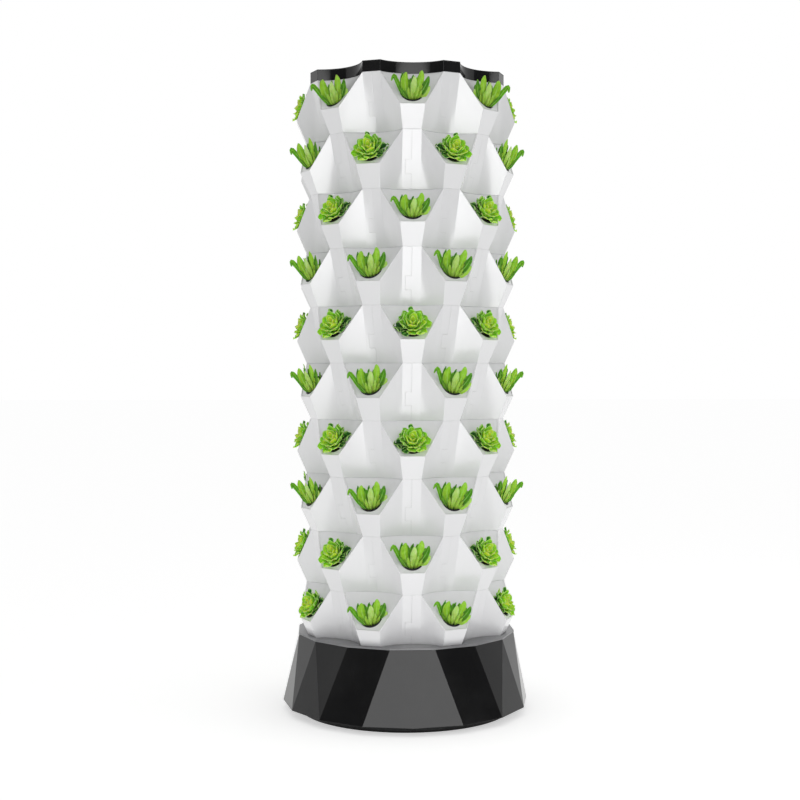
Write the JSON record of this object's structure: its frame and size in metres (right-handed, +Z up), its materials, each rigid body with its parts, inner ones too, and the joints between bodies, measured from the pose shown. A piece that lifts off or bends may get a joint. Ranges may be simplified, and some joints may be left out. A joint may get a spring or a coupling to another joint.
{
  "type": "vertical planter tower",
  "caption": "Free-standing hydroponic planter tower: stacked scalloped white layers with sloping net-cup openings on a faceted black water tank with pump, riser, lid and cap.",
  "frame": {"origin": "centre of the round foot, on the floor", "axes": "+Z up the tower's axis; -Y is the front, where the top layer has a pot; +X to the right seen from the front"},
  "size_m": [0.722, 0.722, 1.847],
  "materials": {
    "layer_white": "satin-gloss moulded plastic",
    "tank_black": "gloss moulded plastic",
    "lid_black": "satin moulded plastic",
    "cap_black": "gloss moulded plastic",
    "cup_black": "matt moulded plastic",
    "sponge_dark": "open-celled sponge",
    "leaves": "soft waxy leaf",
    "rubber_black": "matt rubber",
    "pump_black": "matt moulded plastic",
    "impeller_grey": "moulded plastic",
    "pipe_white": "extruded pipe",
    "tray_white": "moulded plastic"
  },
  "bodies": {
    "tower": {"reservoir_tank": "tank_black", "reservoir_lid": "lid_black", "drain_plug": "cap_black", "drain_seal": "rubber_black", "drain_nut": "cap_black", "lead_grommet": "rubber_black", "pump_body": "pump_black", "pump_strainer": "pump_black", "pump_feet": "rubber_black", "riser_pipes": "pipe_white", "riser_coupling": "pipe_white", "distributor_tray": "tray_white", "spray_head": "pump_black", "front_segment_layer_05": "layer_white", "planting_layer_01": "layer_white", "net_cups_layer_01": "cup_black", "grow_plugs_layer_01": "sponge_dark", "plants_layer_01": "leaves", "planting_layer_02": "layer_white", "net_cups_layer_02": "cup_black", "grow_plugs_layer_02": "sponge_dark", "plants_layer_02": "leaves", "planting_layer_03": "layer_white", "net_cups_layer_03": "cup_black", "grow_plugs_layer_03": "sponge_dark", "plants_layer_03": "leaves", "planting_layer_04": "layer_white", "net_cups_layer_04": "cup_black", "grow_plugs_layer_04": "sponge_dark", "plants_layer_04": "leaves", "planting_layer_05": "layer_white", "net_cups_layer_05": "cup_black", "grow_plugs_layer_05": "sponge_dark", "plants_layer_05": "leaves", "planting_layer_06": "layer_white", "net_cups_layer_06": "cup_black", "grow_plugs_layer_06": "sponge_dark", "plants_layer_06": "leaves", "planting_layer_07": "layer_white", "net_cups_layer_07": "cup_black", "grow_plugs_layer_07": "sponge_dark", "plants_layer_07": "leaves", "planting_layer_08": "layer_white", "net_cups_layer_08": "cup_black", "grow_plugs_layer_08": "sponge_dark", "plants_layer_08": "leaves", "planting_layer_09": "layer_white", "net_cups_layer_09": "cup_black", "grow_plugs_layer_09": "sponge_dark", "plants_layer_09": "leaves", "planting_layer_10": "layer_white", "net_cups_layer_10": "cup_black", "grow_plugs_layer_10": "sponge_dark", "plants_layer_10": "leaves"},
    "cap": {"top_cap": "cap_black"},
    "filler": {"filler_plug": "cap_black"},
    "front_cup": {"loose_net_cup": "cup_black", "loose_grow_plug": "sponge_dark", "loose_plant": "leaves"},
    "impeller": {"pump_impeller": "impeller_grey"}
  },
  "joints": [
    {"name": "cap_lift", "type": "slide", "parent": "tower", "child": "cap", "axis": [0, 0, 1], "range_m": [0, 0.06]},
    {"name": "filler_lift", "type": "slide", "parent": "tower", "child": "filler", "axis": [0, 0, 1], "range_m": [0, 0.04]},
    {"name": "cup_pull", "type": "slide", "parent": "tower", "child": "front_cup", "axis": [0, -0.79, 0.6131], "range_m": [0, 0.075]},
    {"name": "impeller_spin", "type": "hinge", "parent": "tower", "child": "impeller", "pos_m": [0, 0, 0.057], "axis": [0, 1, 0], "continuous": true}
  ]
}
